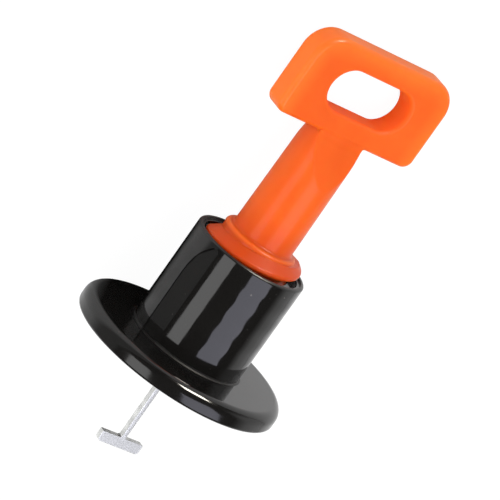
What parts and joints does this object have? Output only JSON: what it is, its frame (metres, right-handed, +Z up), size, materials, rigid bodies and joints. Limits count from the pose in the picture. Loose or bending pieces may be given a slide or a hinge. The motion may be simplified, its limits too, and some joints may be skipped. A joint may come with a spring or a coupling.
{
  "type": "reusable t-pin tile leveller",
  "caption": "Reusable tile levelling tool: round pressing disc with a threaded cup, a screw-in turn handle with a finger hole, and a steel T pin that hooks under the tiles.",
  "frame": {"origin": "on the ground, under the middle of the box of the tool as it lies on its side", "axes": "+Z up; the grip's end lies towards -Y and the T head towards +Y; the grip's long side runs along X. The tool's own axis leans 15.47 degrees, low at the grip."},
  "size_m": [0.048, 0.0982, 0.0467],
  "materials": {
    "black_plastic": "polished moulding, black",
    "orange_plastic": "smooth moulding, orange",
    "plated_steel": "bright zinc plate on stamped sheet",
    "natural_plastic": "natural nylon"
  },
  "bodies": {
    "base": {"base": "black_plastic"},
    "swivel": {"thrust_washer": "plated_steel"},
    "handle": {"handle": "orange_plastic", "retaining_bush": "natural_plastic"},
    "pin": {"t_pin": "plated_steel"}
  },
  "joints": [
    {"name": "lift", "type": "slide", "parent": "base", "child": "swivel", "axis": [0, -0.9638, -0.2667], "range_m": [0, 0.015]},
    {"name": "handle_turn", "type": "hinge", "parent": "swivel", "child": "handle", "pos_m": [0, -0.00149, 0.01574], "axis": [0, -0.9638, -0.2667], "range_deg": [0, 1080]},
    {"name": "pin_turn", "type": "hinge", "parent": "swivel", "child": "pin", "pos_m": [0, 0.02743, 0.02374], "axis": [0, -0.9638, -0.2667], "continuous": true}
  ],
  "couplings": [
    {"joint": "lift", "follows": "handle_turn", "m_per_rad": 0.00079577}
  ]
}
